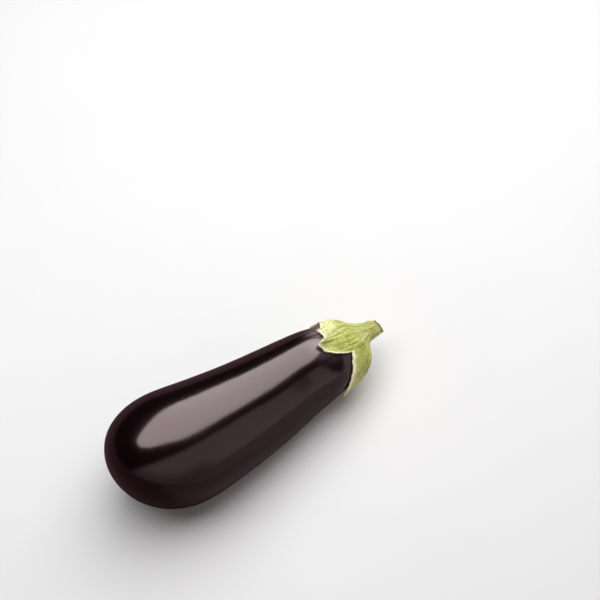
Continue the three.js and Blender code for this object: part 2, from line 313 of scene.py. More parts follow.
class FruitForm:
    """The fruit's form: an outline turned round an axis that bows, with a slanting shoulder."""

    def __init__(self, sizes):
        self.sizes = sizes
        slope = math.tan(sizes.neck_slope)
        length, shoulder = sizes.length, sizes.shoulder_at
        belly, belly_at, neck = sizes.belly_radius, sizes.belly_at, sizes.shoulder_radius
        taper = shoulder - (belly - neck) / slope
        cap = neck - (length - shoulder) * slope
        corners = (
            (length, 0),
            (length, CAP_ROUND * cap),
            (mix(shoulder, length, CAP_HOLD), mix(neck, cap, CAP_HOLD)),
            (shoulder, neck),
            (mix(shoulder, taper, NECK_HOLD), mix(neck, belly, NECK_HOLD)),
            (mix(belly_at, taper, NECK_HOLD), belly),
            (belly_at, belly),
            (BLOSSOM_HOLD[0] * belly_at, belly),
            (0, BLOSSOM_HOLD[1] * belly),
            (0, 0),
        )
        t = np.linspace(0, 1, BEZIER_STEPS)[:, None]
        curves = [bezier(corners[first : first + 4], t)[min(first, 1) :] for first in (0, 3, 6)]
        self.follow(np.vstack(curves))
        self.place = np.zeros(3)
        self.set_down()
        self.follow(self.eased())

    def follow(self, line):
        """Takes a line of distance and radius as the outline, with its length and its direction."""
        steps = np.linalg.norm(np.diff(line, axis=0), axis=1)
        self.line = line
        self.travelled = np.concatenate([[0], np.cumsum(steps)])
        self.reach = self.travelled[-1]
        run = np.gradient(line, self.travelled, axis=0)
        self.run = run / np.linalg.norm(run, axis=1)[:, None]
        self.run[0] = (0, 1)
        self.run[-1] = (0, -1)

    def eased(self):
        """The outline with its bend evened out round the belly, by a bell-shaped average of it."""
        even = np.linspace(0, self.reach, EASED_STEPS)
        line = np.stack([np.interp(even, self.travelled, side) for side in self.line.T], -1)
        half = 3 * EASED_STEPS // 8
        weight = np.exp(-0.5 * (np.arange(-half, half) * even[1] / BELLY_EASE) ** 2)
        weight = weight / weight.sum()
        averaged = np.stack([np.convolve(side, weight, "same") for side in line.T], -1)
        averaged[:, 1] *= self.sizes.belly_radius / averaged[:, 1].max()
        along = line[:, 0]
        near = smoothstep(along, *EASED_FROM) * smoothstep(EASED_UNTIL - along, 0, EASED_FADE)
        return mix(line, averaged, near[:, None])

    def set_down(self):
        """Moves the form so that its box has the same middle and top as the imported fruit."""
        angle = np.linspace(0, 2 * np.pi, FRUIT_SIDES, endpoint=False)
        plain = self.over_skin(self.rings()[:, None], angle[None], 0.0).reshape(-1, 3)
        low, high = (np.array(corner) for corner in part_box("fruit"))
        self.place = (low + high) / 2 - (plain.min(0) + plain.max(0)) / 2
        self.place[2] = high[2] - plain[:, 2].max()

    def rings(self):
        """Reaches of the rings from pole to pole, closer together at both ends."""
        even = np.arange(1, FRUIT_RINGS) / FRUIT_RINGS
        return self.reach * (even - END_CROWDING * np.sin(2 * np.pi * even))

    def over_skin(self, reach, angle, offset):
        """Point at a reach along the skin from the stem and an angle round the axis.

        The angle runs from -Y towards +Z, the middle bows, and shifts and slants at the shoulder,
        and the offset lifts the point off the skin, square to the outline.
        """
        sizes = self.sizes
        reach, angle, offset = np.broadcast_arrays(reach, angle, offset)
        along, radius, run_along, run_out = (
            np.interp(reach, self.travelled, column) for column in (*self.line.T, *self.run.T)
        )
        for depth, place, spread, side, narrowness in ROLL_OFFS:
            turned_to = (0.5 + 0.5 * np.cos(angle - side)) ** narrowness
            radius = radius - depth * bell(reach - place, spread) * turned_to
        radius = radius * (1 + waves(angle, WAVES)) - offset * run_along
        aside = -radius * np.cos(angle)
        up = radius * np.sin(angle)
        share = along / sizes.length
        shift = smoothstep(share, *SHIFT_SPAN)
        bow = 4 * share * (1 - share)
        skew = smoothstep(along, sizes.length - SKEW_RUN, sizes.length)
        x = along + offset * run_out + skew * (CAP_SKEW[0] * aside + CAP_SKEW[1] * up)
        y = sizes.bend_aside * bow + SHOULDER_SHIFT[0] * shift + aside
        z = sizes.bend_down * bow + SHOULDER_SHIFT[1] * shift + up
        return self.laid(np.stack([x, y, z], -1))

    def laid(self, point):
        """Turned about Y by the resting tilt, and moved to its place on the ground."""
        turn = self.sizes.rest_tilt
        x = point[..., 0] * math.cos(turn) - point[..., 2] * math.sin(turn)
        z = point[..., 2] * math.cos(turn) + point[..., 0] * math.sin(turn)
        return np.stack([x, point[..., 1], z], -1) + self.place

    def direction(self, vector):
        """A direction of the upright form, turned as the form is."""
        return self.laid(np.asarray(vector, float)) - self.laid(np.zeros(3))


# ---- Meshes ----
def rested(points):
    """Presses what lies below the ground up to it, with a soft edge: (z + sqrt(z^2 + w^2)) / 2."""
    points = points.copy()
    height = points[..., 2]
    points[..., 2] = (height + np.sqrt(height**2 + FLAT_SOFTNESS**2)) / 2
    return points


def closed_mesh(name, first, rings, last):
    """A closed mesh from an array of rings and a pole at each end, with its faces outwards."""
    count, sides = rings.shape[:2]
    index = 1 + np.arange(count * sides).reshape(count, sides)
    after = np.roll(index, -1, axis=1)
    end = count * sides + 1
    quads = np.stack([index[:-1], after[:-1], after[1:], index[1:]], -1).reshape(-1, 4)
    start_fan = np.stack([np.zeros(sides, int), after[0], index[0]], -1)
    end_fan = np.stack([np.full(sides, end), index[-1], after[-1]], -1)
    mesh = bpy.data.meshes.new(name)
    points = np.vstack([first[None], rings.reshape(-1, 3), last[None]])
    mesh.from_pydata(points.tolist(), [], quads.tolist() + start_fan.tolist() + end_fan.tolist())
    mesh.polygons.foreach_set("use_smooth", np.ones(len(mesh.polygons), bool))
    mesh.update()
    return mesh


def paint(mesh, name, first, rings, last):
    """Stores a value or a vector for each vertex of the first pole, the rings and the last pole."""
    first, last = np.atleast_1d(first), np.atleast_1d(last)
    kind, field = ("FLOAT", "value") if len(first) == 1 else ("FLOAT_VECTOR", "vector")
    values = np.vstack([first, np.reshape(rings, (-1, len(first))), last])
    stored = mesh.attributes.new(name, kind, "POINT")
    stored.data.foreach_set(field, values.astype(np.float32).reshape(-1))


def new_object(name, data):
    """The object of a mesh, a light or a camera, in the scene."""
    thing = bpy.data.objects.new(name, data)
    bpy.context.scene.collection.objects.link(thing)
    return thing


def paint_growth(mesh, radius, angle, along, last):
    """Stores where the streaks of growth are worked out: on a cylinder, by angle and length."""
    angle = np.broadcast_to(angle, along.shape)
    growth = np.stack([radius * np.cos(angle), radius * np.sin(angle), along], -1)
    paint(mesh, "growth", (0, 0, 0), growth, (0, 0, last))


def put_in_scene(mesh, material, node):
    """Makes the mesh a piece that rides on the root body and stands for a node of the solid."""
    mesh.materials.append(material)
    piece = new_object(mesh.name, mesh)
    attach(piece, "root")
    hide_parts(node)


# ---- Shader nodes ----
def feed(tree, node, values):
    """Links or sets inputs of a node by index or name. A colour is given its full alpha."""
    for key, value in values.items():
        socket = node.inputs[key]
        if isinstance(value, bpy.types.NodeSocket):
            tree.links.new(value, socket)
        else:
            socket.default_value = (*value, 1.0) if socket.type == "RGBA" else value


def add_node(tree, kind, values=None, **settings):
    """Adds a node with its settings and its inputs."""
    node = tree.nodes.new(kind)
    for name, value in settings.items():
        setattr(node, name, value)
    feed(tree, node, values or {})
    return node


def maths(tree, operation, first, second=0.0, clamp=False):
    """One arithmetic step."""
    values = {0: first, 1: second}
    node = add_node(tree, "ShaderNodeMath", values, operation=operation, use_clamp=clamp)
    return node.outputs[0]


def vector_maths(tree, operation, first, second=(0, 0, 0)):
    """One step on vectors, of which the node puts out a vector, or a value such as a length."""
    values = {0: first, 1: second}
    return add_node(tree, "ShaderNodeVectorMath", values, operation=operation).outputs


def summed(tree, terms):
    """Sum of each value times its weight."""
    total = None
    for value, weight in terms:
        part = maths(tree, "MULTIPLY", value, weight)
        total = part if total is None else maths(tree, "ADD", total, part)
    return total


def blended(tree, share, first, second):
    """Colour mixed from first to second by a share."""
    values = {0: share, 6: first, 7: second}
    return add_node(tree, "ShaderNodeMix", values, data_type="RGBA").outputs[2]


def layered(tree, colour, layers):
    """Layers over a colour, each with its mask, its strength and its own colour."""
    for mask, strength, layer in layers:
        share = mask if strength == 1 else maths(tree, "MULTIPLY", mask, strength)
        colour = blended(tree, share, colour, layer)
    return colour


def ramp(tree, value, low, high, to_low=0.0, to_high=1.0):
    """Smooth step of a value from low to high, mapped to to_low and to_high."""
    spans = {"From Min": low, "From Max": high, "To Min": to_low, "To Max": to_high}
    values = {"Value": value, **spans}
    return add_node(tree, "ShaderNodeMapRange", values, interpolation_type="SMOOTHSTEP").outputs[0]


def mix_range(tree, value, low, high):
    """A value from 0 to 1, mapped in a straight line to low and high."""
    values = {"Value": value, "To Min": low, "To Max": high}
    return add_node(tree, "ShaderNodeMapRange", values).outputs[0]


def noise(tree, vector, scale, detail, roughness=0.5, output="Fac"):
    """Fractal noise at a place."""
    values = {"Vector": vector, "Scale": scale, "Detail": detail, "Roughness": roughness}
    return add_node(tree, "ShaderNodeTexNoise", values).outputs[output]


def attribute(tree, name, output="Fac"):
    """A value or vector that was stored on the piece."""
    return add_node(tree, "ShaderNodeAttribute", attribute_name=name).outputs[output]


def pattern(tree, name, place, inputs, values, wire):
    """A pattern at a place, by a shader node group with number inputs that is wired only once."""
    group = bpy.data.node_groups.get(name)
    if group is None:
        group = bpy.data.node_groups.new(name, "ShaderNodeTree")
        new_socket, number = group.interface.new_socket, "NodeSocketFloat"
        new_socket("Vector", in_out="INPUT", socket_type="NodeSocketVector")
        for label, default in inputs.items():
            new_socket(label, in_out="INPUT", socket_type=number).default_value = default
        new_socket("Mask", in_out="OUTPUT", socket_type=number)
        start = group.nodes.new("NodeGroupInput").outputs
        feed(group, group.nodes.new("NodeGroupOutput"), {"Mask": wire(group, start)})
    values = {"Vector": place, **values}
    return add_node(tree, "ShaderNodeGroup", values, node_tree=group).outputs[0]


def streaks(tree, growth, **values):
    """Streaks along the growth: noise on a vector that is squeezed round it, drawn out along it."""

    def wire(group, start):
        """Noise at the vector times (around, around, along), cut off smoothly at low and high."""
        around, along = start["Around"], start["Along"]
        stretch = add_node(group, "ShaderNodeCombineXYZ", {0: around, 1: around, 2: along})
        place = vector_maths(group, "MULTIPLY", start["Vector"], stretch.outputs[0])[0]
        lines = noise(group, place, 1.0, start["Detail"], STREAK_ROUGHNESS)
        return ramp(group, lines, start["Low"], start["High"])

    inputs = {"Around": 300.0, "Along": 30.0, "Low": 0.5, "High": 0.7, "Detail": 3.0}
    return pattern(tree, "growth streaks", growth, inputs, values, wire)


def specks(tree, place, **values):
    """Specks: uneven spots in some of the cells of a Voronoi pattern, each with its own size."""

    def wire(group, start):
        """A spot where the stirred distance to a cell's middle is below the cell's own size.

        One of the cell's random numbers says whether it has a spot, and one how large it is.
        """
        stir = noise(group, start["Vector"], start["Stir"], 2.0, output="Color")
        about = vector_maths(group, "SUBTRACT", stir, (0.5, 0.5, 0.5))[0]
        reach = maths(group, "DIVIDE", SPECK_STIRRED, start["Scale"])
        by_reach = {0: about, "Scale": reach}
        shift = add_node(group, "ShaderNodeVectorMath", by_reach, operation="SCALE").outputs[0]
        stirred = vector_maths(group, "ADD", start["Vector"], shift)[0]
        in_cells = {"Vector": stirred, "Scale": start["Scale"], "Randomness": 1.0}
        cells = add_node(group, "ShaderNodeTexVoronoi", in_cells).outputs
        drawn = add_node(group, "ShaderNodeSeparateColor", {0: cells["Color"]}).outputs
        chosen = maths(group, "LESS_THAN", drawn[0], start["Share"])
        drawn_size = maths(group, "ADD", drawn[1], SPECK_LEAST)
        size = maths(group, "MULTIPLY", start["Size"], drawn_size)
        inner = maths(group, "MULTIPLY", size, SPECK_CORE)
        spot = ramp(group, cells["Distance"], inner, size, 1.0, 0.0)
        return maths(group, "MULTIPLY", spot, chosen)

    inputs = {"Scale": 400.0, "Stir": 900.0, "Share": 0.3, "Size": 0.3}
    return pattern(tree, "specks", place, inputs, values, wire)


def mottle(tree, place, **values):
    """Cloudy variation: fractal noise, stretched so that it fills 0 to 1."""

    def wire(group, start):
        """Noise, mapped by a smooth step from its usual lowest to its usual highest value."""
        cloud = noise(group, start["Vector"], start["Scale"], start["Detail"], MOTTLE_ROUGHNESS)
        return ramp(group, cloud, *MOTTLE_RANGE)

    inputs = {"Scale": 60.0, "Detail": 4.0}
    return pattern(tree, "mottle", place, inputs, values, wire)


def new_material(name):
    """A material with an empty Principled surface, and its tree and shader."""
    material = bpy.data.materials.new(name)
    material.use_nodes = True
    tree = material.node_tree
    return material, tree, tree.nodes["Principled BSDF"]


def object_place(tree):
    """The place on the piece, in metres."""
    return add_node(tree, "ShaderNodeTexCoord").outputs["Object"]


def bump(tree, terms, strength, distance):
    """Normal of a relief that is the sum of each height times its weight."""
    values = {"Height": summed(tree, terms), "Strength": strength, "Distance": distance}
    return add_node(tree, "ShaderNodeBump", values).outputs[0]


def skin_material(look):
    """Waxed skin: near-black purple under a tinted gloss and a clear coat.

    The colour is mottled, with faint growth streaks and pores, a mauve blush beside the calyx,
    which towards the lit side is a painted highlight, and a corky scar. The skin's own relief has
    the pores and scuffs, and the wax has only the waves.
    """
    material, tree, surface = new_material("eggplant skin")
    growth = attribute(tree, "growth", "Vector")
    place = object_place(tree)
    cloud = mottle(tree, place, Scale=38.0, Detail=3.0)
    long_streaks = streaks(tree, growth, Around=260.0, Along=14.0, Low=0.45, High=0.75, Detail=4.0)
    pores = specks(tree, place, Scale=520.0, Share=0.22, Size=0.22)
    scuffs = streaks(tree, growth, Around=520.0, Along=60.0, Low=0.72, High=0.78, Detail=2.0)
    # The mauve blush beside the calyx, which towards the lit side is a painted highlight
    blush_streaks = streaks(tree, growth, Around=420.0, Along=26.0, Low=0.35, High=0.7, Detail=4.0)
    blush_strength = mix_range(tree, blush_streaks, 0.35, 1.0)
    blush = maths(tree, "MULTIPLY", attribute(tree, "blush"), blush_strength)
    scar = attribute(tree, "scar")

    colour = blended(tree, cloud, look.skin_dark, look.skin_purple)
    layers = (
        (long_streaks, 0.35, look.skin_streak),
        (pores, 0.18, look.pore),
        (blush, 1, look.blush),
        (scar, 1, look.scar),
    )
    rougher = summed(tree, ((cloud, 0.03), (scuffs, 0.12), (scar, 0.5)))
    ripple = noise(tree, place, 420.0, 2.0)
    waviness = noise(tree, place, 95.0, 1.0)
    in_wax = ((ripple, 0.3), (waviness, 1.6))
    in_skin = (*in_wax, (pores, -0.2), (scuffs, 0.3))
    values = {
        "Base Color": layered(tree, colour, layers),
        "Roughness": maths(tree, "ADD", look.skin_roughness, rougher, clamp=True),
        "Normal": bump(tree, in_skin, *SKIN_BUMP),
        "IOR": 1.5,
        "Specular Tint": look.gloss_tint,
        "Coat Weight": 1.0,
        "Coat Roughness": look.wax_roughness,
        "Coat Normal": bump(tree, in_wax, *SKIN_BUMP),
        "Coat IOR": 1.5,
    }
    feed(tree, surface, values)
    return material


def calyx_material(look):
    """Leathery calyx and stem, from mottled green to the cut's pale pith and brown rim.

    Over the green lie pale fibres, cream flecks and edges, dark lines, brown specks and dry tips,
    and painted shade darkens its grooves and folds.
    """
    material, tree, surface = new_material("calyx and stem")
    growth = attribute(tree, "growth", "Vector")
    place = object_place(tree)
    blotches = mottle(tree, place, Scale=190.0, Detail=3.0)
    grain = mottle(tree, place, Scale=850.0, Detail=4.0)
    fibres = streaks(tree, growth, Around=1500.0, Along=60.0, Low=0.35, High=0.7, Detail=3.0)
    dark_lines = streaks(tree, growth, Around=800.0, Along=70.0, Low=0.58, High=0.7, Detail=3.0)
    spots = specks(tree, place, Scale=420.0, Stir=1500.0, Share=0.3, Size=0.24)
    flecks = specks(tree, place, Scale=620.0, Stir=1800.0, Share=0.34, Size=0.36)
    in_grain = mix_range(tree, grain, 1.0, 0.55)
    bleached = maths(tree, "MULTIPLY", attribute(tree, "bleached"), in_grain)
    dry_patches = mix_range(tree, mottle(tree, place, Scale=420.0, Detail=3.0), 0.5, 1.0)
    dry = maths(tree, "MULTIPLY", attribute(tree, "dry"), dry_patches)
    cut = attribute(tree, "cut")

    colour = blended(tree, blotches, look.calyx_deep, look.calyx_green)
    layers = (
        (bleached, 1, look.calyx_bleached),
        (fibres, 0.45, look.calyx_pale),
        (flecks, 0.5, look.calyx_bleached),
        # Painted shade in the folded lobe's furrow and in the valleys between the lobes
        (attribute(tree, "groove"), 1, look.groove),
        # Darker grain at random, in the same green as the painted groove shade
        (grain, 0.34, look.groove),
        (attribute(tree, "edge"), 1, look.edge),
        (dark_lines, 0.4, look.speck),
        (spots, 0.75, look.speck),
        (dry, 1, look.dry),
        (cut, 1, blended(tree, grain, look.cut, look.cut_dark)),
        (attribute(tree, "cut_rim"), 1, look.cut_dark),
    )
    rough = look.calyx_roughness
    roughness = mix_range(tree, fibres, rough, rough - FIBRE_SHINE)
    rougher = maths(tree, "MULTIPLY", cut, CUT_DULLNESS)
    relief = ((fibres, 0.6), (grain, -0.8), (spots, -0.6), (dark_lines, -0.6))
    values = {
        "Base Color": layered(tree, colour, layers),
        "Roughness": maths(tree, "ADD", roughness, rougher, clamp=True),
        "Specular IOR Level": 0.35,
        "Normal": bump(tree, relief, *CALYX_BUMP),
    }
    feed(tree, surface, values)
    return material


# ---- Settings ----
def number_property(name, text, default, **kind):
    """A plain number, such as a brightness."""
    return bpy.props.FloatProperty(name=name, description=text, default=default, **kind)


def angle_property(name, text, degrees):
    """An angle, given in degrees and kept in radians."""
    return number_property(name, text, math.radians(degrees), subtype="ANGLE", unit="ROTATION")


def vector_property(name, text, default, **kind):
    """Three numbers."""
    return bpy.props.FloatVectorProperty(name=name, description=text, default=default, **kind)


# A length in metres, a share from 0 to 1, and a colour without alpha.
length_property = partial(number_property, subtype="DISTANCE", unit="LENGTH", precision=4)
factor_property = partial(number_property, subtype="FACTOR", min=0, max=1)
colour_property = partial(vector_property, subtype="COLOR", size=3, min=0, max=1)


class EggplantSizes(bpy.types.PropertyGroup):
    """Sizes of the fruit, the calyx and the stem."""

    length: length_property("Length", "Fruit from its blossom end to the stem", 0.197)
    belly_radius: length_property("Belly radius", "Radius at the widest place", 0.040)
    belly_at: length_property("Belly place", "Widest place, from the blossom end", 0.046)
    shoulder_radius: length_property("Shoulder radius", "Radius where the shoulder turns in", 0.025)
    shoulder_at: length_property("Shoulder place", "Shoulder, from the blossom end", 0.173)
    neck_slope: angle_property("Neck slope", "Angle between the neck and the axis", 6.8)
    bend_aside: length_property("Bend aside", "How far the middle bows out along Y", -0.0063)
    bend_down: length_property("Bend down", "How far the middle bows out along Z", -0.0046)
    rest_tilt: angle_property("Resting tilt", "Tilt of the axis as it lies", -5.5)
    cup_thickness: length_property("Calyx thickness", "Thickness between hub and edge", 0.0014)
    tip_lift: length_property("Tip lift", "How far the lobes' tips stand off the skin", 0.0011)
    stem_length: length_property("Stem length", "From the fruit's end to the cut's middle", 0.019)
    stem_radius: length_property("Stem radius", "Radius of the stem at its cut", 0.005)


class EggplantLook(bpy.types.PropertyGroup):
    """Colours and gloss."""

    skin_dark: colour_property("Skin, darkest", "Darkest skin", (0.0012, 0.0002, 0.0004))
    skin_purple: colour_property("Skin, purple", "Purple of the skin", (0.0026, 0.0004, 0.0010))
    skin_streak: colour_property("Skin streaks", "Streaks of growth", (0.008, 0.0016, 0.0036))
    pore: colour_property("Pores", "Pores of the skin", (0.016, 0.007, 0.009))
    # Mauve of the pale blush beside the calyx, and of its painted highlight on the lit side
    blush: colour_property("Blush", "Skin beside the calyx", (0.3, 0.21, 0.24))
    scar: colour_property("Blossom scar", "Corky scar at the end", (0.03, 0.018, 0.012))
    gloss_tint: colour_property("Gloss tint", "Tint of the skin's gloss", (1.0, 0.55, 0.62))
    skin_roughness: factor_property("Skin roughness", "Roughness of the skin under its wax", 0.2)
    wax_roughness: factor_property("Wax roughness", "Roughness of the wax on the skin", 0.11)
    calyx_green: colour_property("Calyx, green", "Main green", (0.365, 0.395, 0.038))
    calyx_deep: colour_property("Calyx, deep green", "Darker blotches", (0.17, 0.215, 0.016))
    calyx_pale: colour_property("Calyx fibres", "Pale fibres of the calyx", (0.8, 0.78, 0.2))
    calyx_bleached: colour_property("Calyx, bleached", "Cream of its flecks", (0.95, 0.89, 0.56))
    # Green of the painted shade in grooves and folds, also used for the random darker grain
    groove: colour_property("Groove", "Bottom of grooves and folds", (0.13, 0.15, 0.02))
    edge: colour_property("Calyx edge", "Cream edge of the lobes", (0.82, 0.76, 0.5))
    speck: colour_property("Specks", "Brown specks and lines of the calyx", (0.13, 0.085, 0.03))
    dry: colour_property("Dry tips", "Dried tips of the lobes", (0.27, 0.22, 0.15))
    cut: colour_property("Cut", "Cut face of the stem", (0.5, 0.42, 0.27))
    cut_dark: colour_property("Cut, brown", "Browned rim of the cut", (0.12, 0.075, 0.04))
    calyx_roughness: factor_property("Calyx roughness", "Roughness of the calyx", 0.62)


class EggplantStudio(bpy.types.PropertyGroup):
    """Floor, lights and camera."""

    floor: colour_property("Floor", "Colour of the floor", (0.68, 0.68, 0.68))
    # Painted shade of the floor, which only glossy reflections see: its colour, and how far it dims
    # near, beyond and well in front of the fruit
    floor_dark: colour_property("Floor, dimmed", "Floor as the gloss sees it", (0.045, 0.01, 0.018))
    floor_dimming: factor_property("Floor dimming", "How far reflections dim the floor", 0.88)
    far_dimming: factor_property("Far dimming", "The same beyond the fruit", 0.97)
    near_dimming: factor_property("Near dimming", "The same well in front of the fruit", 0.76)
    floor_size: length_property("Floor size", "Side of the floor", 6.0)
    window: number_property("Window", "Brightness of the large soft light", 3.4)
    side: number_property("Side", "Brightness of the surroundings at the stem's side", 5.4)
    side_shine: number_property("Side shine", "The same, as the gloss mirrors it", 0.4)
    fill: number_property("Fill", "Brightness of the front half of the surroundings", 0.5)
    fill_colour: colour_property("Fill colour", "Colour of the surroundings", (1.0, 0.85, 0.87))
    fill_edge: angle_property("Fill edge", "How high the front half reaches", 56.0)
    air: number_property("Air", "Brightness of the dim surroundings", 0.012)
    azimuth: angle_property("Camera azimuth", "Direction of the camera from the front", -37.48)
    elevation: angle_property("Camera elevation", "Camera's height above the horizon", 56.0)
    distance: length_property("Camera distance", "From the camera to its target", 1.0)
    target: vector_property(
        "Camera target",
        "Point that the camera looks at",
        (0.07588, 0.04786, 0.03),
        subtype="XYZ",
        unit="LENGTH",
    )
    lens: number_property("Lens", "Focal length", 84.93, unit="CAMERA")


# ---- Fruit ----
Columns = namedtuple("Columns", "hub edge reach across furrow curl")


def calyx_columns():
    """Columns of the calyx, from each lobe's tip to the notch after it and on to the next tip.

    Across runs from 0 on the midrib to 1 in the notch, and outward from 1 to 0 by a sine. The angle
    of the edge goes by a power of 1 - outward, and its reach by outward, and is frayed.
    """
    halves = []
    even = np.arange(HALF_LOBE_STEPS) / HALF_LOBE_STEPS
    for number, (tip, tip_hub, tip_reach, full, depth, lift, after) in enumerate(LOBES):
        turn = 360 if number == 0 else 0
        edge, hub, reach = LOBES[number - 1][-1]
        before = (edge - turn, hub - turn, reach)
        for notch, power, across in ((before, full[0], 1 - even), (after, full[1], even)):
            outward = np.sin((1 - across) * np.pi / 2)
            halves.append(
                (
                    np.radians(mix(tip_hub, notch[1], across)),
                    np.radians(mix(tip, notch[0], (1 - outward) ** power)),
                    mix(notch[2], tip_reach, outward),
                    across,
                    np.full_like(across, depth),
                    np.full_like(across, lift),
                )
            )
    columns = Columns(*np.concatenate(halves, axis=1)[:, None])
    return columns._replace(reach=columns.reach + waves(columns.edge, FRAY))


def distance_to_calyx(form, reach, angle):
    """Distance on the skin from each point to the calyx's cut edge, negative under the calyx."""
    columns = calyx_columns()
    radius = np.interp(reach, form.travelled, form.line[:, 1])
    turn = turned(angle[:, None] - columns.edge)
    away = np.hypot(turn * radius[:, None], reach[:, None] - columns.reach).min(1)
    edge = columns.edge[0] % (2 * np.pi)
    order = np.argsort(edge)
    at_edge = np.interp(angle, edge[order], columns.reach[0][order], period=2 * np.pi)
    return np.where(reach < at_edge, -away, away)


def build_skin(sizes, look):
    """The skin, with shallow swells, a dimpled scar and a blush that fades away from the calyx, and
    that is a painted highlight towards the lit side.
    """
    form = FruitForm(sizes)
    angle = np.linspace(0, 2 * np.pi, FRUIT_SIDES, endpoint=False)
    along, around = np.meshgrid(form.rings(), angle, indexing="ij")
    share = along / form.reach
    swell = sum(
        height * np.sin(count * around + phase) * np.sin(rate * 2 * np.pi * share + start)
        for height, count, rate, phase, start in SWELLS
    )
    for way, fade in zip((share, 1 - share), SWELL_FADES):
        swell = swell * smoothstep(way, 0, fade)
    from_end = form.reach - along
    ragged = SCAR_RADIUS * (1 + waves(around, SCAR_RAGGED))
    dimple = -SCAR_DIMPLE * bell(from_end, DIMPLE_SPREAD * SCAR_RADIUS)
    scar = 1 - smoothstep(from_end, SCAR_EDGE[0] * ragged, SCAR_EDGE[1] * ragged)
    level, ripple, count = CORK_RINGS
    cork = CORK_HEIGHT * scar * (level + ripple * np.cos(from_end / SCAR_RADIUS * count))
    rings = rested(form.over_skin(along, around, swell + dimple + cork))
    first = form.over_skin(0.0, 0.0, 0.0)
    last = form.over_skin(form.reach, 0.0, CORK_HEIGHT - SCAR_DIMPLE)
    mesh = closed_mesh("fruit_skin", first, rings, last)

    near = along < CALYX_ENDS
    away = np.full(along.shape, FAR_AWAY)
    away[near] = distance_to_calyx(form, along[near], around[near])
    # The blush fades away from the calyx's edge, and grows towards the lit side into a painted
    # highlight.
    sunny = facing(around, SUNNY_SIDE, BLUSH_NARROWNESS)
    blush = bell(np.maximum(away, 0), BLUSH_WIDTH) * mix(BLUSH_LEAST, 1, sunny)
    paint_growth(mesh, SKIN_GROWTH_RADIUS, around, along, form.reach)
    paint(mesh, "blush", 1.0, blush, 0.0)
    paint(mesh, "scar", 0.0, scar, 1.0)
    put_in_scene(mesh, skin_material(look), "fruit")


